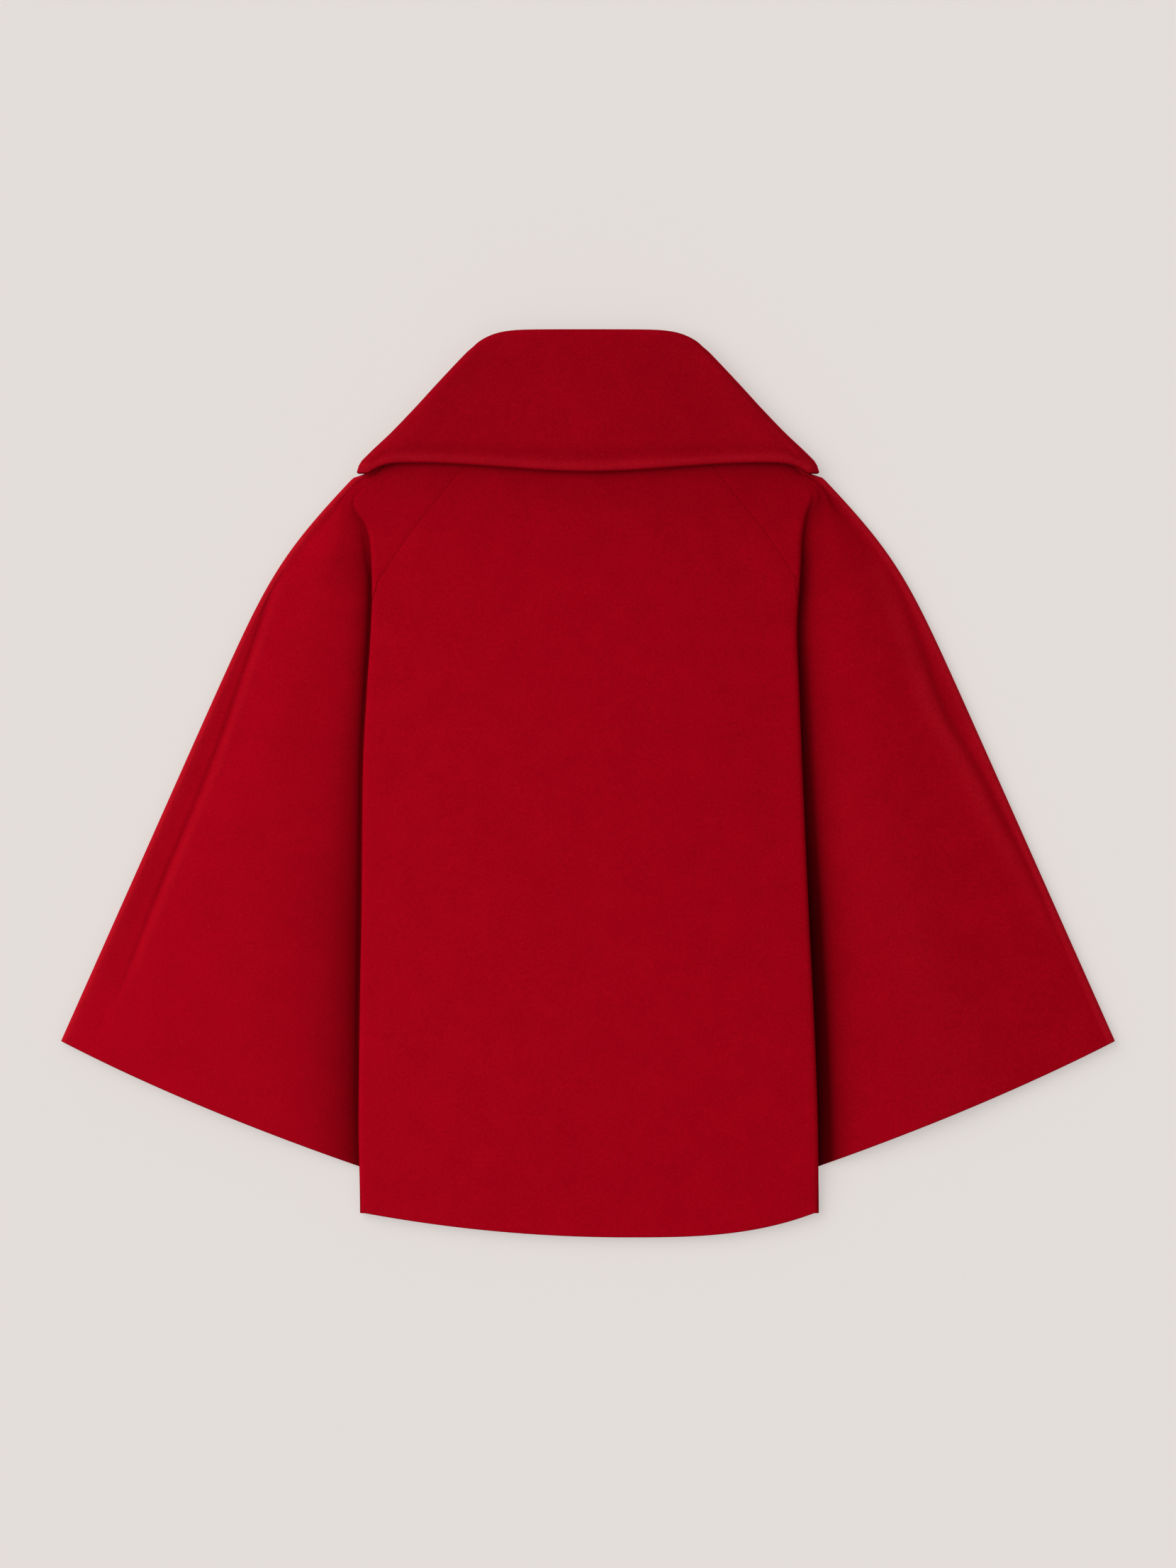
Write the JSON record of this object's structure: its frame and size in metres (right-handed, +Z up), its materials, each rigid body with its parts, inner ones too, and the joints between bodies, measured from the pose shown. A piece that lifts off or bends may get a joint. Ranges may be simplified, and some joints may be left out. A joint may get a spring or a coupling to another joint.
{
  "type": "cape",
  "caption": "Short felted wool cape jacket, laid flat on its front, with wide raglan cape sleeves and a large folded collar.",
  "frame": {"origin": "centre of the box round the garment, on the surface that it lies on", "axes": "+Z up from the surface, +Y from the hem to the collar, +X to the right of the back as it is seen"},
  "size_m": [0.8918, 0.7679, 0.0284],
  "materials": {
    "body_wool": "matte felted wool with a short brushed nap",
    "sleeve_wool": "matte felted wool with a short brushed nap",
    "collar_wool": "matte felted wool with a short brushed nap"
  },
  "bodies": {
    "root": {"back": "body_wool", "front_left": "body_wool", "front_right": "body_wool", "sleeve_left": "sleeve_wool", "sleeve_right": "sleeve_wool", "collar": "collar_wool"}
  },
  "joints": []
}
